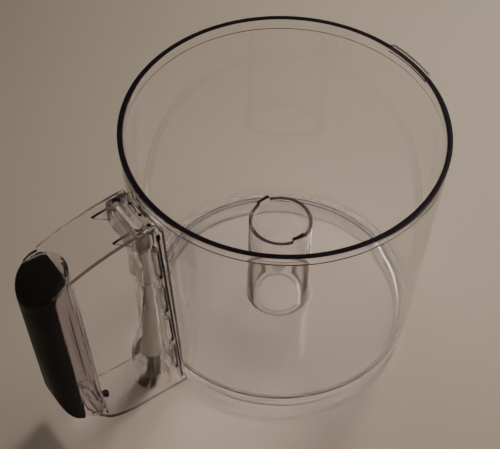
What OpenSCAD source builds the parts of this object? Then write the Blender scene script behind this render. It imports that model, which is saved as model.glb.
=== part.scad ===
// Work bowl of a food processor: a clear tapered bowl with a drive tube, a loop handle,
// and the interlock inside the handle, a sprung pushrod that the lid presses down.
// Frame: origin on the bowl's axis at the foot's underside, +Z up, handle along -X.

/* [Bowl] */
// Outer radius of the bowl at its rim
rim_r = 95; // [94:0.5:96]
// Outer radius where the wall turns in to the floor
base_r = 84.5; // [84:0.5:85]
// Height of the bowl from the foot to the rim
bowl_h = 165; // [164:1:168]
// Thickness of the wall below the rim band
wall_t = 2.2; // [2:0.1:2.8]
// Thickness of the rim band that the lid sits in
rim_t = 3.2; // [3:0.1:3.4]
// Height of the rim band
rim_band_h = 7.5; // [4:0.5:8]
// Height of the floor's upper face
floor_z = 15.4; // [15:0.2:16]
// Thickness of the floor
floor_t = 2.8; // [2.4:0.1:3.2]
// Radius of the fillet between floor and wall
floor_fillet = 5; // [4:0.5:6]

/* [Foot ring] */
// Outer radius of the foot ring
foot_r = 79.5; // [78:0.5:80]
// Thickness of the foot ring
foot_t = 2.6; // [2:0.2:3]
// Height at which the foot ring meets the wall's corner
foot_h = 8; // [7:0.5:9]
// Number of locking lugs inside the foot ring
foot_lugs = 4; // [3:1:6]

/* [Drive tube] */
// Radius of the bore that clears the drive shaft
tube_bore_r = 17.3; // [17:0.1:17.6]
// Outer radius of the tube at its top
tube_top_r = 19.6; // [19.4:0.1:20]
// Outer radius of the tube at the floor
tube_foot_r = 20.2; // [20:0.1:20.6]
// Height of the tube's top edge
tube_z = 84; // [80:1:90]
// Height of the two tabs above the tube's edge
tab_h = 3; // [2:0.5:4]
// Radius of the ledge inside the tube's foot
ledge_r = 14.5; // [14:0.1:15]

/* [Lid lug] */
// How far the lid lug stands out from the rim
lug_out = 2; // [1.5:0.1:2.5]
// Height of the lid lug
lug_h = 4; // [3:0.5:5]

/* [Handle] */
// Half of the handle's width
grip_w = 16; // [15.5:0.5:16.5]
// Thickness of the two arms
arm_t = 3; // [2.6:0.1:3.2]
// Thickness of the grip's shells
shell_t = 2.6; // [2.2:0.1:3]
// Height of the top arm's upper face at the bowl
arm_z = 161; // [160:0.5:161.5]

/* [Interlock] */
// Distance from the bowl's axis to the pushrod's axis
rod_x = 96; // [95.5:0.5:96.5]
// Radius of the pushrod's shaft
rod_r = 4.8; // [4.5:0.1:5]
// Clearance around the moving pushrod
rod_gap = 0.6; // [0.5:0.1:0.8]
// How far the lid presses the pushrod down
travel = 6.5; // [5:0.5:7]
// Distance from the bowl's axis to the middle of the slot
slot_x = 105.3; // [105:0.1:105.6]
// Width of the slot
slot_w = 5.6; // [5.4:0.1:6]
// Length of the slot
slot_l = 27; // [26:0.5:28]
// Outer radius of the spring
spring_r = 5.8; // [5.6:0.1:6]
// Wire diameter of the spring
wire_d = 1.1; // [1:0.1:1.2]
// Number of turns of the spring
turns = 12; // [10:1:13]

/* [Hidden] */

$fn = 96;
eps = 0.01;
clear_plastic = [0.80, 0.79, 0.82, 0.45];
milky_plastic = [0.78, 0.75, 0.62];
black_plastic = [0.07, 0.07, 0.08];
spring_steel = [0.55, 0.55, 0.52];

// Radius of the bowl's outer surface at height z
function wall_r(z) = base_r + (rim_r - base_r) * (z - foot_h) / (bowl_h - foot_h);
// Slope of the wall, which the handle's back and grip follow
lean = atan((rim_r - base_r) / (bowl_h - foot_h)) + 0.8;
// Distance from the axis to the handle's flat back at height z
function back_x(z) = 85.6 + (z - foot_h) * tan(lean);
// Distance from the axis to the seam between the grip's two halves at height z
function seam_x(z) = 152 + (z - 21) * tan(lean);

function bez(p, t) = p[0] * pow(1 - t, 3) + p[1] * 3 * t * pow(1 - t, 2)
                   + p[2] * 3 * t * t * (1 - t) + p[3] * pow(t, 3);
function curve(p, n) = [for (i = [0:n]) bez(p, i / n)];
function arc(c, r, a0, a1, n) = [for (i = [0:n]) c + r * [cos(a0 + (a1 - a0) * i / n),
                                                          sin(a0 + (a1 - a0) * i / n)]];
function reversed(p) = [for (i = [len(p) - 1:-1:0]) p[i]];

// The handle's pieces are drawn along +X and turned to -X by this
module on_handle_side() mirror([1, 0, 0]) children();
// Extrudes a side outline, drawn as [distance from the axis, height], to a width
module side_extrude(w) rotate([90, 0, 0]) linear_extrude(w, center = true) children();
// A sector of a ring between two angles
module ring_sector(r0, r1, h, a0, a1) {
    rotate([0, 0, a0]) rotate_extrude(angle = a1 - a0) translate([r0, 0]) square([r1 - r0, h]);
}

// ---- Bowl ----

// Height at which the straight wall ends and the rounded bottom begins
bottom_z = floor_z + floor_fillet;

module bowl_wall() {
    band_z = bowl_h - rim_band_h;
    color(clear_plastic) rotate_extrude() polygon([
        [wall_r(bottom_z) - wall_t, bottom_z], [wall_r(bottom_z), bottom_z], [rim_r, bowl_h],
        [rim_r - rim_t, bowl_h], [rim_r - rim_t - 0.1, band_z], [wall_r(band_z - 0.1) - wall_t, band_z - 0.1]]);
}

// Floor with the fillet up to the wall and the rounded corner outside
module bowl_floor() {
    corner = 2.2;
    under = floor_z - floor_t;
    color(clear_plastic) rotate_extrude() polygon(concat(
        [[tube_foot_r, under], [foot_r - foot_t, under], [foot_r - foot_t, foot_h]],
        arc([base_r - corner, foot_h + corner], corner, 270, 350, 5),
        [[wall_r(bottom_z), bottom_z]],
        arc([wall_r(bottom_z) - wall_t - floor_fillet, bottom_z], floor_fillet, 0, -90, 8),
        [[tube_foot_r, floor_z]]));
}

module drive_tube() {
    under = floor_z - floor_t;
    collar = 2.5;
    tab_a = 13;
    color(clear_plastic) {
        difference() {
            rotate_extrude() polygon(concat(
                [[0, under], [tube_foot_r, under], [tube_foot_r, floor_z]],
                arc([tube_foot_r + collar, floor_z + collar], collar, -90, -180, 6),
                [[tube_top_r, tube_z], [0, tube_z]]));
            translate([0, 0, under + 2]) cylinder(r = tube_bore_r, h = tube_z);
            translate([0, 0, under - 1]) cylinder(r = ledge_r, h = tube_z);
        }
        for (a = [90, 270])
            translate([0, 0, tube_z - 1]) ring_sector(tube_bore_r + 0.2, tube_top_r - 0.2, tab_h + 1, a - tab_a, a + tab_a);
        for (a = [30, 150, 270])
            translate([0, 0, under + 1]) ring_sector(ledge_r + 0.8, tube_bore_r + 1, 2.6, a - 14, a + 14);
    }
}

module foot_ring() {
    lug_a = 9;
    lug_in = 3;
    color(clear_plastic) {
        difference() {
            cylinder(r = foot_r, h = foot_h);
            translate([0, 0, -1]) cylinder(r = foot_r - foot_t, h = floor_z);
        }
        for (i = [0:foot_lugs - 1])
            rotate([0, 0, 45 + i * 360 / foot_lugs])
                translate([0, 0, 1.5])
                    ring_sector(foot_r - foot_t - lug_in, foot_r - foot_t / 2, 2.5, -lug_a, lug_a);
    }
}

module lid_lug() {
    color(clear_plastic) {
        translate([0, 0, bowl_h - lug_h]) ring_sector(rim_r, rim_r + lug_out, lug_h, -6, 12);
        translate([0, 0, bowl_h - lug_h - 3]) ring_sector(rim_r, rim_r + lug_out + 0.7, lug_h + 3, -7.6, -5.9);
    }
}

// Flat boss on the bowl's wall that the handle is welded to
module handle_pad() {
    pad_w = 2 * grip_w + 1;
    rib_w = 3;
    low_z = foot_h + 1;
    top_z = lip_z - 0.1;
    color(clear_plastic) on_handle_side() intersection() {
        difference() {
            side_extrude(pad_w) polygon([[70, low_z], [back_x(low_z), low_z], [back_x(top_z), top_z], [70, top_z]]);
            side_extrude(pad_w - 2 * rib_w) polygon([[60, -1], [130, -1], [130, top_z - 7], [60, top_z - 7]]);
        }
        difference() {
            cylinder(r = 120, h = bowl_h);
            cylinder_outside_wall();
        }
    }
}

// The bowl's outer surface as a solid cone
module cylinder_outside_wall() {
    translate([0, 0, foot_h]) cylinder(r1 = base_r, r2 = rim_r, h = bowl_h - foot_h, $fn = 360);
}

// ---- Handle ----

arm_top = [[back_x(arm_z), arm_z], [118, arm_z], [138, arm_z - 4.5], [154, arm_z - 11]];
lower_edge = [[116, 0], [132, 0], [142, 7], [152.5, 19]];
cap_x = 151;
cap_end = 163;

// Cross-section of the grip about its seam: a shallow outer arc and a deeper inner one
module grip_section(inset) {
    outer_sag = 14;
    outer_r = (grip_w * grip_w + outer_sag * outer_sag) / (2 * outer_sag);
    intersection() {
        translate([outer_sag - outer_r, 0]) circle(r = outer_r - inset);
        translate([0, -grip_w + inset]) square([outer_sag + 1, 2 * (grip_w - inset)]);
    }
    intersection() {
        translate([-1, 0]) circle(r = grip_w - inset);
        translate([-grip_w - 2, -grip_w]) square([grip_w + 2 + eps, 2 * grip_w]);
    }
}

// The grip's full column, leaning with the bowl's wall
module grip_column(inset) {
    translate([seam_x(0), 0, 0]) rotate([0, lean, 0]) translate([0, 0, -20])
        linear_extrude(220) grip_section(inset);
}

// Plan of the grip cover's tongue, which lies in the top arm
module cap_plan() {
    polygon([[cap_x, -9], [cap_end, -15.2], [cap_end + 20, -20], [cap_end + 20, 20],
             [cap_end, 15.2], [cap_x, 9]]);
}

// Upper line of the top arm, running out over the grip's head, and the line of its underside
arm_line = concat(curve(arm_top, 10), curve([arm_top[3], [159, 147.8], [163, 145], [165.5, 141]], 5));
arm_under_line = [for (q = arm_line) q - [0.4, arm_t]];

// Everything above the underside of the top arm
module above_arm_underside() {
    side_extrude(60) polygon(concat(arm_under_line, [[200, 138], [200, 175], [90, 175]]));
}

module handle_top_arm() {
    color(clear_plastic) on_handle_side() difference() {
        intersection() {
            side_extrude(2 * grip_w) polygon(concat(arm_line, reversed(arm_under_line)));
            union() {
                translate([90, -grip_w, 100]) cube([64, 2 * grip_w, 80]);
                grip_column(0);
            }
        }
        translate([0, 0, 120]) linear_extrude(60) cap_plan();
        slot_cut();
        translate([0, 0, 100]) linear_extrude(80) cover_strip_plan();
    }
}

// Obround opening that the lid's tab enters
module slot_cut() {
    half = slot_l / 2 - slot_w / 2;
    translate([slot_x, 0, 100]) linear_extrude(80) {
        for (s = [-1, 1]) translate([0, s * half]) circle(d = slot_w);
        square([slot_w, 2 * half], center = true);
    }
}

// Plan of the strip between the slot and the bowl, which the channel cover's lip fills
module cover_strip_plan() {
    translate([90, -grip_w - 1]) square([lip_x + 0.1 - 90, 2 * grip_w + 2]);
}

module handle_grip_back() {
    color(clear_plastic) on_handle_side() difference() {
        intersection() {
            grip_column(0);
            side_extrude(60) polygon(concat(
                curve(lower_edge, 8),
                curve([[seam_x(125), 125], [seam_x(138), 138], [161, 141], [157, 144]], 6),
                [[cap_x, 147], [120, 157], [120, 0]]));
            side_extrude(60) polygon(concat([[100, 0]], [for (q = curve(lower_edge, 8)) q + [0, arm_t]],
                [[220, 60], [220, 143]], reversed([for (q = curve(arm_top, 10)) q - [0.4, arm_t]]),
                [[90, 150]]));
        }
        grip_column(shell_t);
    }
}

module handle_lower_arm() {
    low = curve(lower_edge, 8);
    arm_end = 81;
    end_x = 134;
    color(clear_plastic) on_handle_side() difference() {
        intersection() {
            side_extrude(60) polygon(concat([[arm_end, 0]], low,
                reversed([for (q = low) q + [0, arm_t]]), [[arm_end, arm_t]]));
            translate([0, 0, -1]) linear_extrude(40) {
                translate([arm_end, -grip_w]) square([end_x - arm_end, 2 * grip_w]);
                translate([end_x, 0]) circle(r = grip_w);
            }
        }
        cylinder_at(cup_r, -1, 10);
    }
}

// ---- Interlock ----

pin_r = 2.6;
pin_bore_r = pin_r + rod_gap / 10;
cup_r = 12.4;
cup_z = 27;
cup_floor = 1.6;
channel_r = rod_r + rod_gap + 1.8;
flange_t = 4.4;
neck_z = 52;
head_z0 = 118;
// Underside of the top arm, and the step that the channel cover's lip rests on
under_z = arm_z - arm_t;
lip_z = 156;
// Thickness of the channel cover's plate, and how far its lip reaches from the bowl's axis
plate_t = 1.4;
lip_x = 102.1;
// Height of the pushrod's disc on the spring, and of its head under the slot
disc_z = 27.6;
head_top = 153.5;
// Height at which the channel has widened to the slot's length
widen_z = 144;

// Flange against the bowl with its windows, and the channel that holds the pushrod
module interlock_housing() {
    window_z = [44, 74, 105, 140];
    window_l = [24, 24, 24, 26];
    color(clear_plastic) on_handle_side() difference() {
        union() {
            side_extrude(2 * grip_w + 2) polygon([[back_x(arm_t), arm_t], [back_x(arm_t) + flange_t, arm_t],
                [back_x(lip_z) + flange_t, lip_z], [back_x(lip_z), lip_z]]);
            intersection() {
                union() {
                    translate([rod_x, 0, cup_z]) cylinder(r1 = cup_r, r2 = channel_r, h = neck_z - cup_z);
                    cylinder_at(channel_r, neck_z - eps, 156 - neck_z);
                    translate([85, -channel_r, cup_z]) cube([rod_x - 85, 2 * channel_r, 130]);
                    head_housing(1.8);
                }
                side_extrude(60) polygon([[back_x(arm_t), arm_t], [130, arm_t], [130, under_z],
                                          [back_x(under_z), under_z]]);
            }
            for (s = [-1, 1]) translate([0, s * 11, 0])
                side_extrude(1.6) polygon([[108, under_z], [124, under_z], [108.5, 146]]);
        }
        rod_space();
        cylinder_at(spring_r + 1, arm_t + cup_floor, cup_z);
        above_arm_underside();
        for (s = [-1, 1], i = [0:3])
            translate([back_x(window_z[i]) + flange_t / 2, s * (grip_w + 1), window_z[i]])
                rotate([0, lean, 0]) rotate([90, 0, 0]) linear_extrude(8, center = true)
                    window_plan(window_l[i]);
        translate([0, 0, lip_z]) linear_extrude(20) cover_strip_plan();
    }
}

// Rounded window, its length running down from its upper end
module window_plan(l) {
    w = 2.4;
    translate([0, -w / 2]) circle(d = w, $fn = 24);
    translate([0, w / 2 - l]) circle(d = w, $fn = 24);
    translate([-w / 2, w / 2 - l]) square([w, l - w]);
}

// Front outline of the pushrod's channel: 2 * w wide, growing to the slot's length plus 2 * t
function channel_front(w, t, z0, z1, z2, z3) = [[-w, z0], [w, z0], [w, z1],
    [slot_l / 2 + t, z2], [slot_l / 2 + t, z3], [-slot_l / 2 - t, z3], [-slot_l / 2 - t, z2], [-w, z1]];
// Extrudes a front outline, drawn as [sideways, height], along X
module front_extrude(l) rotate([90, 0, 90]) linear_extrude(l) children();

// Outer shape round the pushrod's head, t thick
module head_housing(t) {
    intersection() {
        side_extrude(60) polygon([[rod_x - 6, 100], [rod_x + channel_r, 100], [rod_x + channel_r, head_z0],
            [slot_x + slot_w / 2 + t, widen_z - 1], [slot_x + slot_w / 2 + t, under_z], [rod_x - 2, under_z]]);
        front_extrude(140) polygon(channel_front(channel_r, t, 100, 130, widen_z, under_z));
    }
}

// Room for the pushrod over its whole travel
module rod_space() {
    bore = rod_r + rod_gap;
    cylinder_at(bore, neck_z - 1, 62);
    translate([rod_x - 20, -bore, cup_z]) cube([20, 2 * bore, 88]);
    translate([rod_x, 0, cup_z - eps]) cylinder(r1 = cup_r - 1.8, r2 = bore, h = neck_z - cup_z + 2 * eps);
    intersection() {
        side_extrude(60) polygon([[80, 100], [rod_x + bore, 100], [rod_x + bore, head_z0],
            [slot_x + slot_w / 2, widen_z - 1], [slot_x + slot_w / 2, 170], [80, 170]]);
        front_extrude(140) polygon(channel_front(bore, 0, 90, 130, widen_z, 170));
    }
}

// Round cup at the handle's foot that the spring stands in
module spring_cup() {
    color(clear_plastic) on_handle_side() difference() {
        intersection() {
            cylinder_at(cup_r, 0, cup_z);
            side_extrude(60) polygon([[back_x(0) + flange_t, 0], [130, 0], [130, cup_z],
                                      [back_x(cup_z) + flange_t, cup_z]]);
        }
        cylinder_at(spring_r + 1, arm_t + cup_floor, cup_z);
        cylinder_at(pin_bore_r, -1, 10);
    }
}

// A cylinder on the pushrod's axis
module cylinder_at(r, z, h) translate([rod_x, 0, z]) cylinder(r = r, h = h);

// Thin plate that closes the channel behind the pushrod, with a lip on top of the handle
module channel_cover() {
    foot_z = cup_z + 4;
    fit = 0.1;
    color(clear_plastic) on_handle_side() {
        intersection() {
            side_extrude(60) polygon([[back_x(foot_z) + fit, foot_z], [back_x(foot_z) + plate_t, foot_z],
                [back_x(lip_z) + plate_t, lip_z + 1], [back_x(lip_z) + fit, lip_z + 1]]);
            front_extrude(140) polygon(channel_front(rod_r + rod_gap - fit, -fit, foot_z, 130, widen_z, lip_z + 1));
        }
        side_extrude(2 * grip_w) polygon([[back_x(lip_z) + fit, lip_z], [lip_x, lip_z], [lip_x, arm_z],
                                          [back_x(arm_z), arm_z]]);
    }
}

// Three short locating pegs on the cover's lip
module cover_pegs() {
    color(clear_plastic) on_handle_side()
        for (y = [5, -5, -14]) translate([100.3, y, arm_z]) cylinder(r = 1.3, h = 0.4);
}

module grip_cover() {
    nose_z = 19;
    outline = concat(
        [lower_edge[3]],
        curve([[153, nose_z], [158, nose_z - 1], [163, 22], [166.5, 40]], 6),
        curve([[seam_x(110) + 14.2, 110], [177.5, 126], [176.5, 136], [168, 141.5]], 8),
        [[160, 145.8], [cap_x, 149.2]],
        [[cap_x, 147], [157, 144]],
        reversed(curve([[seam_x(125), 125], [seam_x(138), 138], [161, 141], [157, 144]], 6)));
    color(black_plastic) on_handle_side() difference() {
        intersection() {
            grip_column(0);
            side_extrude(60) polygon(outline);
        }
        intersection() {
            grip_column(shell_t);
            side_extrude(60) hollow_outline();
        }
        difference() {
            above_arm_underside();
            translate([0, 0, 120]) linear_extrude(60) cap_plan();
        }
    }
}

// Hollow inside the grip cover
module hollow_outline() {
    polygon([[140, 24], [160, 26], [seam_x(40) + 8, 42], [seam_x(125) + 8, 125], [160, 138],
             [150, 138], [140, 60]]);
}

// The grip cover's two snap pegs, which show beside the lower arm
module grip_snap_pegs() {
    top = [for (q = curve(lower_edge, 8)) q + [0, arm_t]];
    color(black_plastic) on_handle_side() intersection() {
        union() {
            translate([131, 0, arm_t]) cylinder(r = 2.2, h = 5);
            translate([138.4, 3 - grip_w, arm_t]) cylinder(r = 1.6, h = 6);
        }
        side_extrude(60) polygon(concat(top, [[152, 60], [116, 60]]));
    }
}

// ---- Moving pieces ----

module pushrod() {
    tip_z = 7;
    disc_r = spring_r + 0.6;
    back = plate_t + 0.5;
    head_half = 2.2;
    color(milky_plastic) on_handle_side() {
        cylinder_at(pin_r, tip_z, disc_z + 1 - tip_z);
        intersection() {
            union() {
                cylinder_at(disc_r, disc_z, 5);
                translate([rod_x, 0, disc_z + 5]) cylinder(r1 = disc_r, r2 = rod_r, h = 9);
                cylinder_at(rod_r, disc_z + 13, 74);
                intersection() {
                    side_extrude(60) polygon([[80, 110], [rod_x + rod_r, 110],
                        [rod_x + rod_r, head_z0 + travel], [slot_x + head_half, head_top - 2.5],
                        [slot_x + head_half, head_top], [slot_x - head_half, head_top],
                        [slot_x - head_half, head_top - 3], [back_x(132) + back, 132]]);
                    front_extrude(140) polygon(channel_front(rod_r, -0.7, 100, 138, head_top - 2, 160));
                }
            }
            side_extrude(60) polygon([[back_x(20) + back, 20], [back_x(160) + back, 160], [120, 160], [120, 20]]);
        }
    }
}

// The spring as a stack of rings, one for each turn, with flat ends
module return_spring() {
    z0 = arm_t + cup_floor + wire_d / 2;
    z1 = disc_z - wire_d / 2;
    color(spring_steel) on_handle_side()
        for (i = [0:turns])
            translate([rod_x, 0, z0 + (z1 - z0) * i / turns]) rotate_extrude()
                translate([spring_r - wire_d / 2, 0]) circle(d = wire_d, $fn = 16);
}

bowl_wall();
bowl_floor();
drive_tube();
foot_ring();
lid_lug();
handle_pad();
handle_top_arm();
handle_grip_back();
handle_lower_arm();
interlock_housing();
spring_cup();
channel_cover();
cover_pegs();
grip_cover();
grip_snap_pegs();
pushrod();
return_spring();
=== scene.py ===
"""Looks of the food processor's work bowl: a clear moulded bowl with its drive tube, a clear loop handle
with a black soft-touch grip cover, and the sprung pushrod of the interlock inside the handle."""

import math

import bmesh
import bpy
from mathutils import Matrix, Vector


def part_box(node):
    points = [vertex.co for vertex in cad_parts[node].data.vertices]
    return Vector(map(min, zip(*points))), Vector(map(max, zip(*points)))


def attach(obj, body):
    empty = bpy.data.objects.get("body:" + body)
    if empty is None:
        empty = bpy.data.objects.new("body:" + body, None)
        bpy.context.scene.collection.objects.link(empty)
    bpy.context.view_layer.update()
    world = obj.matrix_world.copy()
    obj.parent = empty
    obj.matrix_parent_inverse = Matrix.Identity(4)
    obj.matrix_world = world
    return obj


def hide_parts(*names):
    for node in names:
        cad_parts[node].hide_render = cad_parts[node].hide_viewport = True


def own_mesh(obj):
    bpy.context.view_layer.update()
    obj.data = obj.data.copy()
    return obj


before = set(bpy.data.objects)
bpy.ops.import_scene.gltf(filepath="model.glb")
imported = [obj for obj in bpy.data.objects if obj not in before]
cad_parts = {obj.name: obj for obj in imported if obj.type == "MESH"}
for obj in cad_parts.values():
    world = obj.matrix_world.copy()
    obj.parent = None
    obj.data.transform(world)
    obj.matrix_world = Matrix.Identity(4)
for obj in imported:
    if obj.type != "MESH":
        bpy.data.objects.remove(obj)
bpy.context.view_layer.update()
MM = 0.001

# ---- Sizes, in metres, from the frame where it has them ----

WALL_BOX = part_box("bowl_wall")
FLOOR_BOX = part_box("bowl_floor")
TUBE_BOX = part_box("drive_tube")
FOOT_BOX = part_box("foot_ring")
LUG_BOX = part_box("lid_lug")
SPRING_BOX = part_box("return_spring")

RIM_R = WALL_BOX[1][0]
BOWL_H = WALL_BOX[1][2]
FOOT_H = FLOOR_BOX[0][2]
FLOOR_UNDER = TUBE_BOX[0][2]
FOOT_R = FOOT_BOX[1][0]
LUG_OUT = LUG_BOX[1][0] - RIM_R

BASE_R = 84.5 * MM
WALL_T = 2.2 * MM
RIM_T = 3.2 * MM
RIM_BAND_H = 7.5 * MM
LEDGE_EDGE = 0.5 * MM
FLOOR_Z = FLOOR_UNDER + 2.8 * MM
FLOOR_FILLET = 5.0 * MM
CORNER_R = 2.2 * MM
FOOT_T = 2.6 * MM
TAB_H = 3.0 * MM
TUBE_TOP = TUBE_BOX[1][2] - TAB_H
TUBE_TOP_R = 19.6 * MM
TUBE_BORE_R = 17.3 * MM
TUBE_FOOT_R = 20.2 * MM
TUBE_COLLAR = 2.5 * MM
LEDGE_R = 14.5 * MM
LUG_H = 4.0 * MM

# The handle leans a little more than the bowl's wall. At the foot its back is BACK_FOOT_X from the axis.
LEAN = math.atan((RIM_R - BASE_R) / (BOWL_H - FOOT_H)) + math.radians(0.8)
BACK_FOOT_X = 85.6 * MM
GRIP_HALF_W = 16 * MM
FLANGE_T = 4.4 * MM
SLOT_X = 105.3 * MM
ARM_Z = 161 * MM
EDGE_R = 0.15 * MM


def back_x(z):
    """Distance from the bowl's axis to the handle's flat back at height z."""
    return BACK_FOOT_X + (z - FOOT_H) * math.tan(LEAN)


# ---- Small helpers ----

def srgb(code):
    """Linear colour of an sRGB hex code such as '8A8A8A'."""
    parts = [int(code[i:i + 2], 16) / 255 for i in (0, 2, 4)]
    return [p / 12.92 if p <= 0.04045 else ((p + 0.055) / 1.055) ** 2.4 for p in parts] + [1.0]


def add_node(tree, kind, settings=None, links=None, **values):
    """Adds a node. settings are its properties; links and values go to its inputs by name or index."""
    node = tree.nodes.new(kind)
    for key, value in (settings or {}).items():
        setattr(node, key, value)
    for key, value in values.items():
        node.inputs[key.replace("_", " ")].default_value = value
    for key, socket in (links or {}).items():
        tree.links.new(socket, node.inputs[key])
    return node


def new_material(name):
    mat = bpy.data.materials.new(name)
    mat.use_nodes = True
    mat.node_tree.nodes.clear()
    return mat, mat.node_tree


def new_piece(name, mesh, material, body="bowl"):
    piece = bpy.data.objects.new(name, mesh)
    bpy.context.scene.collection.objects.link(piece)
    mesh.materials.clear()
    mesh.materials.append(material)
    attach(piece, body)
    return piece


def light_passes(*pieces):
    """Clear pieces that lie in each other: lamps shine through them all, however many there are in a row."""
    for piece in pieces:
        piece.visible_shadow = False


def mark(piece, material, test):
    """Gives a second material to the faces whose middle and normal pass the test."""
    piece.data.materials.append(material)
    index = len(piece.data.materials) - 1
    for face in piece.data.polygons:
        if test(face.center, face.normal):
            face.material_index = index


def clean(mesh, sharp=30):
    """Turns all faces outwards and shades smooth across edges flatter than the given angle."""
    work = bmesh.new()
    work.from_mesh(mesh)
    bmesh.ops.remove_doubles(work, verts=work.verts, dist=0.000002)
    bmesh.ops.recalc_face_normals(work, faces=work.faces)
    work.to_mesh(mesh)
    work.free()
    mesh.shade_smooth()
    mesh.set_sharp_from_angle(angle=math.radians(sharp))


def arc(centre, radius, start, end, count):
    """Points of an arc in a profile of (distance from the axis, height), angles in degrees."""
    turns = [math.radians(start + (end - start) * i / count) for i in range(count + 1)]
    return [(centre[0] + radius * math.cos(a), centre[1] + radius * math.sin(a)) for a in turns]


# ---- Camera, floor and light ----

def make_camera():
    """A long lens that looks steeply down into the bowl, with the handle at the left."""
    place = (-0.3402, -0.4355, 0.7357)
    yaw, pitch, roll = -0.034, 0.871, 0.019
    turn = math.radians(-38)
    forward = Vector((math.sin(yaw) * math.cos(pitch), math.cos(yaw) * math.cos(pitch), -math.sin(pitch)))
    right = Vector((math.cos(yaw), -math.sin(yaw), 0))
    up = right.cross(forward)
    side = math.cos(roll) * right + math.sin(roll) * up
    top = -math.sin(roll) * right + math.cos(roll) * up
    camera = bpy.data.objects.new("camera", bpy.data.cameras.new("camera"))
    bpy.context.scene.collection.objects.link(camera)
    axes = Matrix((side, top, -forward)).transposed().to_4x4()
    camera.matrix_world = Matrix.Translation(place) @ Matrix.Rotation(turn, 4, "Z") @ axes
    camera.data.lens = 100.8
    camera.data.sensor_width = 36
    camera.data.clip_end = 20
    bpy.context.scene.camera = camera


def make_stage():
    mesh = bpy.data.meshes.new("floor")
    half = 6.0
    corners = [(-half, -half, 0), (half, -half, 0), (half, half, 0), (-half, half, 0)]
    mesh.from_pydata(corners, [], [(0, 1, 2, 3)])
    floor = bpy.data.objects.new("floor", mesh)
    bpy.context.scene.collection.objects.link(floor)
    mat, tree = new_material("pale_table_laminate")
    shader = add_node(tree, "ShaderNodeBsdfPrincipled", Base_Color=srgb("C8BDAD"), Roughness=0.7)
    add_node(tree, "ShaderNodeOutputMaterial", links={"Surface": shader.outputs[0]})
    mesh.materials.append(mat)


def add_area(name, place, target, size, power, colour, spread=180):
    light = bpy.data.objects.new(name, bpy.data.lights.new(name, "AREA"))
    bpy.context.scene.collection.objects.link(light)
    light.data.shape = "DISK"
    light.data.size = size
    light.data.energy = power
    light.data.spread = math.radians(spread)
    light.data.color = srgb(colour)[:3]
    light.location = place
    light.rotation_euler = (Vector(target) - Vector(place)).to_track_quat("-Z", "Y").to_euler()


def make_light():
    """A pale room, dimmer towards the horizon, a narrow pool of window light and a broad weak fill."""
    world = bpy.data.worlds.new("room")
    bpy.context.scene.world = world
    world.use_nodes = True
    world.node_tree.nodes.clear()
    tree = world.node_tree
    way = add_node(tree, "ShaderNodeTexCoord")
    height = add_node(tree, "ShaderNodeSeparateXYZ", links={"Vector": way.outputs["Generated"]})
    bright = add_node(tree, "ShaderNodeMapRange", links={"Value": height.outputs["Z"]},
                      From_Min=0.1, From_Max=0.5, To_Min=0.14, To_Max=0.182)
    back = add_node(tree, "ShaderNodeBackground", links={"Strength": bright.outputs[0]}, Color=srgb("FFF6EC"))
    add_node(tree, "ShaderNodeOutputWorld", links={"Surface": back.outputs[0]})
    add_area("window", (1.5, 0.6, 1.7), (0.27, 0.02, 0), 0.7, 1.15, "FFF3E6", 26)
    add_area("fill", (0.6, 1.9, 2.2), (0.05, 0.05, 0.05), 3.2, 0.5, "FFF7F0")


# ---- Materials ----

def clear_polycarbonate(name, tint, shade, bend, coat):
    """Moulded polycarbonate: clear and glossy, with ripples about 14 mm long from the mould and faint
    patches of haze. Lamps shine through it without being bent, so that it casts only a faint shadow."""
    mat, tree = new_material(name)
    coords = add_node(tree, "ShaderNodeTexCoord")
    place = {"Vector": coords.outputs["Object"]}
    ripple = add_node(tree, "ShaderNodeTexNoise", links=place, Scale=70.0, Detail=1.0)
    bump = add_node(tree, "ShaderNodeBump", links={"Height": ripple.outputs[0]},
                    Strength=0.25, Distance=0.05 * MM)
    haze = add_node(tree, "ShaderNodeTexNoise", links=place, Scale=26.0, Detail=5.0)
    rough = add_node(tree, "ShaderNodeMapRange", links={"Value": haze.outputs[0]},
                     From_Min=0.35, From_Max=0.75, To_Min=0.01, To_Max=0.05)
    shader = add_node(tree, "ShaderNodeBsdfPrincipled",
                      links={"Roughness": rough.outputs[0], "Normal": bump.outputs[0]},
                      Base_Color=srgb(tint), IOR=bend, Transmission_Weight=1.0, Coat_Weight=coat)
    path = add_node(tree, "ShaderNodeLightPath")
    through = add_node(tree, "ShaderNodeBsdfTransparent", Color=srgb(shade))
    mix = add_node(tree, "ShaderNodeMixShader",
                   links={0: path.outputs["Is Shadow Ray"], 1: shader.outputs[0], 2: through.outputs[0]})
    add_node(tree, "ShaderNodeOutputMaterial", links={"Surface": mix.outputs[0]})
    return mat


def soft_touch_black():
    """Black soft-touch elastomer over a hard shell: near black, dull, with a grain 0.7 mm across and patches
    where hands have polished it."""
    mat, tree = new_material("soft_touch_black")
    coords = add_node(tree, "ShaderNodeTexCoord")
    grain = add_node(tree, "ShaderNodeTexNoise", links={"Vector": coords.outputs["Object"]},
                     Scale=1 / (0.7 * MM), Detail=2.0)
    bump = add_node(tree, "ShaderNodeBump", links={"Height": grain.outputs[0]},
                    Strength=0.3, Distance=0.04 * MM)
    wear = add_node(tree, "ShaderNodeTexNoise", links={"Vector": coords.outputs["Object"]},
                    Scale=1 / (25 * MM), Detail=4.0)
    rough = add_node(tree, "ShaderNodeMapRange", links={"Value": wear.outputs[0]},
                     From_Min=0.3, From_Max=0.7, To_Min=0.42, To_Max=0.56)
    shader = add_node(tree, "ShaderNodeBsdfPrincipled",
                      links={"Roughness": rough.outputs[0], "Normal": bump.outputs[0]},
                      Base_Color=srgb("1C1A1B"), Specular_IOR_Level=0.25)
    add_node(tree, "ShaderNodeOutputMaterial", links={"Surface": shader.outputs[0]})
    return mat


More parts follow.
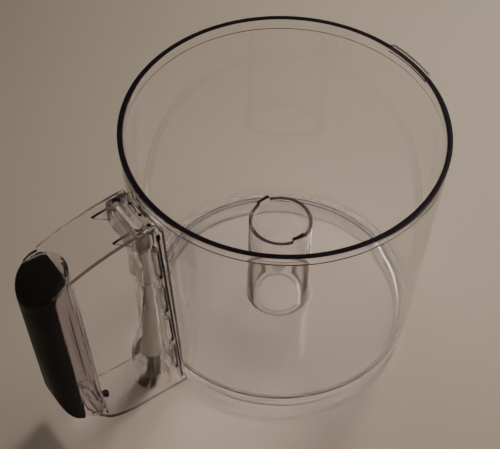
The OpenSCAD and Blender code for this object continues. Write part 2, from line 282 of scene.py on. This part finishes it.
def edge_shade_paint(name, dark, light, clear):
    """Painted shade on edges of clear polycarbonate: a dark, glossy colour that stands in for the darkness seen
    through the edge, where light has gone a long way in it, clouded between two colours every 5 mm or so."""
    mat, tree = new_material(name)
    coords = add_node(tree, "ShaderNodeTexCoord")
    cloud = add_node(tree, "ShaderNodeTexNoise", links={"Vector": coords.outputs["Object"]}, Scale=1 / (5 * MM))
    colour = add_node(tree, "ShaderNodeMix", {"data_type": "RGBA"}, links={0: cloud.outputs[0]})
    colour.inputs[6].default_value = srgb(dark)
    colour.inputs[7].default_value = srgb(light)
    shader = add_node(tree, "ShaderNodeBsdfPrincipled", links={"Base Color": colour.outputs[2]},
                      Roughness=0.25, IOR=1.2, Transmission_Weight=clear)
    add_node(tree, "ShaderNodeOutputMaterial", links={"Surface": shader.outputs[0]})
    return mat


def natural_nylon():
    """Moulded natural nylon: milky and faintly yellow, in clouds about 17 mm across. Light passes a little
    way in, and the surface is satin."""
    mat, tree = new_material("natural_nylon")
    coords = add_node(tree, "ShaderNodeTexCoord")
    cloud = add_node(tree, "ShaderNodeTexNoise", links={"Vector": coords.outputs["Object"]},
                     Scale=60.0, Detail=3.0)
    colour = add_node(tree, "ShaderNodeMix", {"data_type": "RGBA"}, links={0: cloud.outputs[0]})
    colour.inputs[6].default_value = srgb("DCD4BE")
    colour.inputs[7].default_value = srgb("EBE5D4")
    bump = add_node(tree, "ShaderNodeBump", links={"Height": cloud.outputs[0]}, Strength=0.1, Distance=0.1 * MM)
    shader = add_node(tree, "ShaderNodeBsdfPrincipled",
                      links={"Base Color": colour.outputs[2], "Normal": bump.outputs[0]},
                      Roughness=0.5, Subsurface_Weight=0.3, Subsurface_Scale=0.002)
    add_node(tree, "ShaderNodeOutputMaterial", links={"Surface": shader.outputs[0]})
    return mat


def drawn_spring_wire():
    """Drawn spring steel: dull grey metal, its gloss broken up every 0.8 mm, coarser than the die's streaks."""
    mat, tree = new_material("drawn_spring_wire")
    coords = add_node(tree, "ShaderNodeTexCoord")
    streak = add_node(tree, "ShaderNodeTexNoise", links={"Vector": coords.outputs["Object"]},
                      Scale=1 / (0.8 * MM), Detail=2.0)
    rough = add_node(tree, "ShaderNodeMapRange", links={"Value": streak.outputs[0]}, To_Min=0.28, To_Max=0.45)
    shader = add_node(tree, "ShaderNodeBsdfPrincipled", links={"Roughness": rough.outputs[0]},
                      Base_Color=srgb("9C9A84"), Metallic=0.6)
    add_node(tree, "ShaderNodeOutputMaterial", links={"Surface": shader.outputs[0]})
    return mat


# ---- Bowl ----

def wall_radius(z):
    """Outer radius of the tapered wall at height z."""
    return BASE_R + (RIM_R - BASE_R) * (z - FOOT_H) / (BOWL_H - FOOT_H)


def bowl_profile():
    """Closed outline of the moulding as ((radius, height), stretch): wall, rim, floor and drive tube in one.
    A stretch of 'tab' is raised at the tube's tabs, and 'lug' is pushed out at the lid lug. The points 0.6 mm
    from a fillet keep the flat beside it flat when it is shaded smooth."""
    hold = 0.6 * MM
    outer = [(p, "") for p in arc((BASE_R - CORNER_R, FOOT_H + CORNER_R), CORNER_R, 270, 352, 8)]
    steps = [FOOT_H + (BOWL_H - FOOT_H) * i / 12 for i in range(1, 12)]
    outer += [((wall_radius(z), z), "") for z in steps]
    ledge_z = BOWL_H - LUG_H
    outer += [((wall_radius(ledge_z), ledge_z), "")]
    outer += [((wall_radius(ledge_z), ledge_z + 0.05 * MM), "lug")]
    outer += [(p, "lug") for p in arc((RIM_R - EDGE_R, BOWL_H - EDGE_R), EDGE_R, 0, 90, 4)]
    outer += [((RIM_R - 0.3 * MM, BOWL_H), "")]
    band_z = BOWL_H - RIM_BAND_H
    inner = [(p, "") for p in arc((RIM_R - RIM_T + EDGE_R, BOWL_H - EDGE_R), EDGE_R, 90, 180, 4)]
    inner += [((RIM_R - RIM_T - 0.09 * MM, band_z + LEDGE_EDGE), "")]
    inner += [((RIM_R - RIM_T - 0.1 * MM, band_z), ""), ((wall_radius(band_z) - WALL_T, band_z - 0.1 * MM), "")]
    inner += [((wall_radius(z) - WALL_T, z), "") for z in reversed(steps)
              if FLOOR_Z + FLOOR_FILLET < z < band_z - 2 * MM]
    inner_foot = wall_radius(FLOOR_Z) - WALL_T
    inner += [(p, "") for p in arc((inner_foot - FLOOR_FILLET + 0.45 * MM, FLOOR_Z + FLOOR_FILLET),
                                   FLOOR_FILLET, 0, -90, 10)]
    inner += [((inner_foot - FLOOR_FILLET - hold, FLOOR_Z), "")]
    collar = (TUBE_FOOT_R + TUBE_COLLAR, FLOOR_Z + TUBE_COLLAR)
    tube = [((collar[0] + hold, FLOOR_Z), "")]
    tube += [(p, "") for p in arc(collar, TUBE_COLLAR, -90, -180, 8)]
    tube += [((TUBE_TOP_R, TUBE_TOP - 1 * MM), "")]
    tube += [(p, "tab") for p in arc((TUBE_TOP_R - EDGE_R, TUBE_TOP - EDGE_R), EDGE_R, 0, 90, 4)]
    tube += [(p, "tab") for p in arc((TUBE_BORE_R + EDGE_R, TUBE_TOP - EDGE_R), EDGE_R, 90, 180, 4)]
    tube += [((TUBE_BORE_R, TUBE_TOP - 1 * MM), ""), ((TUBE_BORE_R, FLOOR_UNDER + 2 * MM), "")]
    tube += [((LEDGE_R, FLOOR_UNDER + 2 * MM), ""), ((LEDGE_R, FLOOR_UNDER), "")]
    under = [((FOOT_R - FOOT_T - hold, FLOOR_UNDER), ""), ((FOOT_R - FOOT_T, FLOOR_UNDER), "")]
    under += [((FOOT_R, FLOOR_UNDER - 1.5 * MM), "")]
    return outer + inner + tube + under


def turned(name, rows):
    """Closes rows of points, one row for each step round the axis, into a watertight mesh."""
    n = len(rows[0])
    faces = []
    for i in range(len(rows)):
        j = (i + 1) % len(rows)
        faces += [(i * n + k, j * n + k, j * n + (k + 1) % n, i * n + (k + 1) % n) for k in range(n)]
    mesh = bpy.data.meshes.new(name)
    mesh.from_pydata([p for row in rows for p in row], [], faces)
    clean(mesh)
    return mesh


def bowl_mesh():
    """The bowl's profile turned round the axis, with the two tabs on the tube and the lug on the rim."""
    profile = bowl_profile()
    count = 288
    tab_half = math.radians(13)
    lug_from, lug_to = math.radians(-7.6), math.radians(12)
    rows = []
    for i in range(count):
        a = 2 * math.pi * i / count
        on_tab = min(abs(a - math.pi / 2), abs(a - 3 * math.pi / 2)) < tab_half
        on_lug = lug_from < (a + math.pi) % (2 * math.pi) - math.pi < lug_to
        row = []
        for (r, z), stretch in profile:
            out = LUG_OUT if stretch == "lug" and on_lug else 0
            up = TAB_H if stretch == "tab" and on_tab else 0
            row.append(((r + out) * math.cos(a), (r + out) * math.sin(a), z + up))
        rows.append(row)
    return turned("bowl_moulding", rows)


def foot_ring_mesh():
    """The foot under the floor, with four short lugs inside that lock on the base."""
    lug_half, lug_in = math.radians(9), 3 * MM
    low, high = 1.5 * MM, 4 * MM
    chamfer = 0.2 * MM
    inner = FOOT_R - FOOT_T
    rows = []
    count = 240
    for i in range(count):
        a = 2 * math.pi * i / count
        off = (a - math.pi / 4) % (math.pi / 2)
        push = lug_in if min(off, math.pi / 2 - off) < lug_half else 0.01 * MM
        profile = [(FOOT_R, chamfer), (FOOT_R, FOOT_H), (inner, FOOT_H), (inner, high + 0.1 * MM),
                   (inner - push, high), (inner - push, low), (inner, low - 0.1 * MM), (inner, chamfer),
                   (inner + chamfer, 0), (FOOT_R - chamfer, 0)]
        rows.append([(r * math.cos(a), r * math.sin(a), z) for r, z in profile])
    return turned("foot_ring_moulding", rows)


def tube_lug_mesh():
    """Three short blocks in the tube's foot."""
    work = bmesh.new()
    inner, outer = LEDGE_R + 0.8 * MM, TUBE_BORE_R - 0.05 * MM
    low, high = FLOOR_UNDER + 2.05 * MM, FLOOR_UNDER + 3.6 * MM
    for middle in (30, 150, 270):
        columns = []
        for step in range(7):
            a = math.radians(middle - 14 + 28 * step / 6)
            columns.append([work.verts.new((r * math.cos(a), r * math.sin(a), z))
                            for r, z in ((inner, low), (outer, low), (outer, high), (inner, high))])
        for one, two in zip(columns, columns[1:]):
            for k in range(4):
                work.faces.new((one[k], one[(k + 1) % 4], two[(k + 1) % 4], two[k]))
        work.faces.new(columns[0])
        work.faces.new(columns[-1])
    mesh = bpy.data.meshes.new("tube_lugs")
    work.to_mesh(mesh)
    work.free()
    return rounded("tube_lugs", mesh, 0.2 * MM)


# ---- Handle ----

def cad_copy(name, node):
    """A welded copy of a CAD node's mesh."""
    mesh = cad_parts[node].data.copy()
    mesh.name = name
    work = bmesh.new()
    work.from_mesh(mesh)
    bmesh.ops.remove_doubles(work, verts=work.verts, dist=0.000001)
    work.to_mesh(mesh)
    work.free()
    return mesh


def evaluated(piece):
    """The piece's mesh with its modifiers applied."""
    graph = bpy.context.evaluated_depsgraph_get()
    return bpy.data.meshes.new_from_object(piece.evaluated_get(graph))


def temporary(name, mesh):
    piece = bpy.data.objects.new(name, mesh)
    bpy.context.scene.collection.objects.link(piece)
    return piece


def rounded(name, mesh, width):
    """The mesh with its flat stretches made single faces and its sharp edges rounded."""
    work = bmesh.new()
    work.from_mesh(mesh)
    bmesh.ops.dissolve_limit(work, angle_limit=math.radians(0.8), verts=work.verts, edges=work.edges)
    work.to_mesh(mesh)
    work.free()
    piece = temporary(name + "_draft", mesh)
    bevel = piece.modifiers.new("edges", "BEVEL")
    bevel.width = width
    bevel.segments = 2
    bevel.limit_method = "ANGLE"
    bevel.angle_limit = math.radians(30)
    bevel.use_clamp_overlap = True
    result = evaluated(piece)
    result.name = name
    bpy.data.objects.remove(piece)
    clean(result, 40)
    return result


def handle_mesh():
    """The handle's one clear moulding, joined from the frame's nodes."""
    nodes = ["interlock_housing", "handle_top_arm", "handle_grip_back", "handle_lower_arm",
             "spring_cup"]
    parts = [temporary(n + "_draft", cad_copy(n + "_draft", n)) for n in nodes]
    for other in parts[1:]:
        join = parts[0].modifiers.new("join", "BOOLEAN")
        join.operation = "UNION"
        join.solver = "MANIFOLD"
        join.object = other
    joined = evaluated(parts[0])
    for part in parts:
        bpy.data.objects.remove(part)
    return rounded("handle_moulding", joined, 0.35 * MM), nodes


def grip_cover_mesh():
    """The grip cover with its edges and nose softened all round."""
    piece = temporary("grip_cover_draft", cad_copy("grip_cover_draft", "grip_cover"))
    remesh = piece.modifiers.new("skin", "REMESH")
    remesh.mode = "VOXEL"
    remesh.voxel_size = 0.8 * MM
    smooth = piece.modifiers.new("soften", "SMOOTH")
    smooth.factor = 0.5
    smooth.iterations = 8
    mesh = evaluated(piece)
    mesh.name = "grip_cover_skin"
    bpy.data.objects.remove(piece)
    clean(mesh, 80)
    return mesh


def obround(length, width, count=10):
    """Outline of a slot with round ends, its length along the second coordinate."""
    half, r = length / 2 - width / 2, width / 2
    return ([(x, half + y) for x, y in arc((0, 0), r, 0, 180, count)]
            + [(x, y - half) for x, y in arc((0, 0), r, 180, 360, count)])


def liner(work, place, across, along, out, length, width, wall, depth, start, count):
    """Adds a stretch of a slot's wall, from one point of its outline over the given count of points. The
    outline lies in the across and along directions."""
    rings = []
    for w, d in ((width, 0), (width, depth), (width + 2 * wall, depth), (width + 2 * wall, 0)):
        outline = obround(length + w - width, w)
        outline = (outline + outline)[start:start + count]
        rings.append([work.verts.new(place + across * x + along * y + out * d) for x, y in outline])
    for k in range(4):
        one, two = rings[k], rings[(k + 1) % 4]
        for i in range(count - 1):
            work.faces.new((one[i], one[i + 1], two[i + 1], two[i]))
    for end in (0, -1):
        work.faces.new([ring[end] for ring in rings])


def window_liner_mesh():
    """Walls of the four windows in each side of the housing's flange, on the side towards the bowl, and of the
    two ends of the slot for the lid's tab. They are thin sheets coloured with painted shade, standing in for
    the shade and dark refraction in the windows and at the slot's ends."""
    wall = 0.25 * MM
    width, depth = 2.4 * MM, 2 * MM
    inner_y = 14.7 * MM
    slot_length, slot_width, slot_wall, slot_depth = 26.2 * MM, 4.8 * MM, 0.4 * MM, 3.2 * MM
    work = bmesh.new()
    along = Vector((-math.sin(LEAN), 0, math.cos(LEAN)))
    across = Vector((math.cos(LEAN), 0, math.sin(LEAN)))
    for top, length in ((140 * MM, 26 * MM), (105 * MM, 24 * MM), (74 * MM, 24 * MM), (44 * MM, 24 * MM)):
        middle = Vector((-back_x(top) - FLANGE_T / 2, 0, top)) - along * length / 2
        for side in (-1, 1):
            out = Vector((0, side, 0))
            liner(work, middle + out * inner_y, across, along, out, length, width, wall, depth, 15, 11)
    slot = Vector((-SLOT_X, 0, ARM_Z - 3.5 * MM))
    x_axis, y_axis, z_axis = Vector((1, 0, 0)), Vector((0, 1, 0)), Vector((0, 0, 1))
    for start in (1, 12):
        liner(work, slot, x_axis, y_axis, z_axis, slot_length, slot_width, slot_wall, slot_depth, start, 9)
    mesh = bpy.data.meshes.new("window_liners")
    work.to_mesh(mesh)
    work.free()
    clean(mesh, 50)
    return mesh


def join_line_mesh():
    """A thin dark line down each side of the flange where bowl and handle meet, with a wider blob at the top of
    one side, coloured with painted shade."""
    low, high, half = 10 * MM, 152 * MM, 0.45 * MM
    blob = 1.2 * MM
    work = bmesh.new()
    for side in (-1, 1):
        y = side * 17.2 * MM
        stretches = [(low, high, half)]
        if side < 0:
            stretches.append((high - 2.5 * MM, high + 1.5 * MM, blob))
        for z0, z1, wide in stretches:
            corners = []
            for z in (z0, z1):
                x = -back_x(z) + 0.2 * MM
                outline = ((-wide, -half), (wide, -half), (wide, half), (-wide, half))
                corners.append([work.verts.new((x + dx, y + dy, z)) for dx, dy in outline])
            for k in range(4):
                n = (k + 1) % 4
                work.faces.new((corners[0][k], corners[0][n], corners[1][n], corners[1][k]))
            work.faces.new(corners[0])
            work.faces.new(corners[1])
    mesh = bpy.data.meshes.new("bowl_handle_join_line")
    work.to_mesh(mesh)
    work.free()
    return rounded("bowl_handle_join_line", mesh, 0.2 * MM)


def spring_tree(material):
    """Geometry Nodes tree of a compression spring with closed ends."""
    tree = bpy.data.node_groups.new("compression_spring", "GeometryNodeTree")
    tree.interface.new_socket("Geometry", in_out="OUTPUT", socket_type="NodeSocketGeometry")
    sizes = {"Coil Radius": 0.005, "Wire Radius": 0.0005, "Turns": 10.0, "Height": 0.02}
    for name, value in sizes.items():
        socket = tree.interface.new_socket(name, in_out="INPUT", socket_type="NodeSocketFloat")
        socket.default_value = value
    inputs = add_node(tree, "NodeGroupInput")
    coil = add_node(tree, "GeometryNodeCurveSpiral",
                    links={"Rotations": inputs.outputs["Turns"],
                           "Start Radius": inputs.outputs["Coil Radius"],
                           "End Radius": inputs.outputs["Coil Radius"],
                           "Height": inputs.outputs["Height"]},
                    Resolution=40)
    ring = add_node(tree, "GeometryNodeCurvePrimitiveCircle",
                    links={"Radius": inputs.outputs["Coil Radius"]}, Resolution=48)
    lift = add_node(tree, "ShaderNodeCombineXYZ", links={"Z": inputs.outputs["Height"]})
    upper = add_node(tree, "GeometryNodeTransform",
                     links={"Geometry": ring.outputs[0], "Translation": lift.outputs[0]})
    joined = add_node(tree, "GeometryNodeJoinGeometry")
    for part in (coil, ring, upper):
        tree.links.new(part.outputs[0], joined.inputs[0])
    wire = add_node(tree, "GeometryNodeCurvePrimitiveCircle",
                    links={"Radius": inputs.outputs["Wire Radius"]}, Resolution=10)
    swept = add_node(tree, "GeometryNodeCurveToMesh",
                     links={"Curve": joined.outputs[0], "Profile Curve": wire.outputs[0]}, Fill_Caps=True)
    real = add_node(tree, "GeometryNodeRealizeInstances", links={"Geometry": swept.outputs[0]})
    finish = add_node(tree, "GeometryNodeSetMaterial", links={"Geometry": real.outputs[0]}, Material=material)
    add_node(tree, "NodeGroupOutput", links={0: finish.outputs[0]})
    return tree


def spring_mesh(material):
    low, high = SPRING_BOX
    wire_r = 0.55 * MM
    sizes = {"Coil Radius": (high[1] - low[1]) / 2 - wire_r, "Wire Radius": wire_r, "Turns": 11.0,
             "Height": high[2] - low[2] - 2 * wire_r}
    piece = temporary("spring_draft", bpy.data.meshes.new("spring_draft"))
    tree = spring_tree(material)
    coil = piece.modifiers.new("coil", "NODES")
    coil.node_group = tree
    for socket in tree.interface.items_tree:
        if socket.in_out == "INPUT":
            coil[socket.identifier] = sizes[socket.name]
    mesh = evaluated(piece)
    bpy.data.objects.remove(piece)
    mesh.name = "spring_coil"
    mesh.transform(Matrix.Translation(((low[0] + high[0]) / 2, 0, low[2] + wire_r)))
    clean(mesh, 60)
    return mesh


# ---- Faces that get a second material, told by their middle and normal ----

def on_rim(centre, normal):
    """The rim's top and the edge of the ledge under its band."""
    r = math.hypot(centre.x, centre.y)
    land = centre.z > BOWL_H - 0.1 * MM and r < RIM_R - 0.1 * MM
    band_z = BOWL_H - RIM_BAND_H
    ledge = band_z - 0.1 * MM < centre.z < band_z + LEDGE_EDGE and r < RIM_R - RIM_T + 1 * MM
    return land or ledge


def on_tube_edge(centre, normal):
    r = math.hypot(centre.x, centre.y)
    return abs(centre.z - TUBE_TOP) < 0.1 * MM and r < TUBE_TOP_R and normal.z > 0.5


def on_arm(centre, normal):
    """The arms and the grip, and the housing's head between them."""
    return centre.z > ARM_Z - 26 * MM or centre.x < -112 * MM


def on_grip_back(centre, normal):
    return centre.x < -134 * MM and 19 * MM < centre.z < 143 * MM


def on_corner(centre, normal):
    r = math.hypot(centre.x, centre.y)
    return centre.z < FOOT_H + 0.25 * MM and r > BASE_R - CORNER_R


def on_arm_edge(centre, normal):
    return on_arm(centre, normal) and abs(centre.y) > GRIP_HALF_W - 0.7 * MM and abs(normal.y) > 0.2


# ---- The object ----

make_camera()
make_stage()
make_light()

bowl_clear = clear_polycarbonate("bowl_polycarbonate", "FAF9FA", "F1F0F2", 1.5, 0.0)
foot_clear = clear_polycarbonate("foot_polycarbonate", "FAF9FA", "F6F5F6", 1.06, 0.0)
handle_clear = clear_polycarbonate("handle_polycarbonate", "F8F6F8", "F0EEF1", 1.08, 0.6)
arm_clear = clear_polycarbonate("arm_polycarbonate", "F7F5F7", "F0EEF1", 1.32, 0.0)
grip_clear = clear_polycarbonate("grip_polycarbonate", "E2DCE1", "F0EEF1", 1.04, 0.4)
# Painted shade in four strengths for edges seen through the clear plastic: darkest on the rim's top, dark on
# the window liners and the line where bowl and handle meet, softer on the tube's top and the bottom corner,
# lightest grey on the arms' sides.
rim_shade_paint = edge_shade_paint("rim_painted_edge_shade", "1A1219", "302633", 0.25)
edge = edge_shade_paint("dark_painted_edge_shade", "2E2430", "4A3E4C", 0.45)
soft_shade_paint = edge_shade_paint("soft_painted_edge_shade", "6E6067", "86787E", 0.6)
arm_shade_paint = edge_shade_paint("arm_painted_edge_shade", "96898D", "B3A6A9", 0.7)
black = soft_touch_black()
nylon = natural_nylon()
steel = drawn_spring_wire()


bowl = new_piece("bowl_moulding", bowl_mesh(), bowl_clear)
# Painted shade on the rim's top and its ledge, the tube's top and the bottom corner, where the clear wall looks
# dark.
mark(bowl, rim_shade_paint, on_rim)
mark(bowl, soft_shade_paint, on_tube_edge)
mark(bowl, soft_shade_paint, on_corner)
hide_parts("bowl_wall", "bowl_floor", "drive_tube", "lid_lug")

foot = new_piece("foot_ring_moulding", foot_ring_mesh(), foot_clear)
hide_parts("foot_ring")
lugs = new_piece("tube_lugs", tube_lug_mesh(), handle_clear)
# Painted shade on the walls of the flange's windows and of the slot's ends.
new_piece("window_liners", window_liner_mesh(), edge)
# A thin line of painted shade where bowl and handle meet.
new_piece("bowl_handle_join_line", join_line_mesh(), edge)

mesh, joined_nodes = handle_mesh()
handle = new_piece("handle_moulding", mesh, handle_clear)
mark(handle, arm_clear, on_arm)
# The arms' side faces get a lighter painted shade, standing in for how their edges look through the clear
# plastic.
mark(handle, arm_shade_paint, on_arm_edge)
mark(handle, grip_clear, on_grip_back)
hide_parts(*joined_nodes)
light_passes(foot, lugs, handle)

for node, width in (("handle_pad", 0.3 * MM), ("channel_cover", 0.3 * MM), ("cover_pegs", 0.15 * MM)):
    name = node + "_moulding"
    piece = new_piece(name, rounded(name, cad_copy(node, node), width), handle_clear)
    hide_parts(node)
    light_passes(piece)

cover = new_piece("grip_cover_skin", grip_cover_mesh(), black)
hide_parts("grip_cover")

snaps = new_piece("grip_snaps", rounded("grip_snaps", cad_copy("grip_snaps", "grip_snap_pegs"), 0.4 * MM),
                  black)
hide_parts("grip_snap_pegs")

rod = new_piece("pushrod_nylon", rounded("pushrod_nylon", cad_copy("pushrod_nylon", "pushrod"), 0.5 * MM),
                nylon, body="pushrod")
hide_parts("pushrod")

spring = new_piece("spring_coil", spring_mesh(steel), steel)
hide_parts("return_spring")
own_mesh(spring)
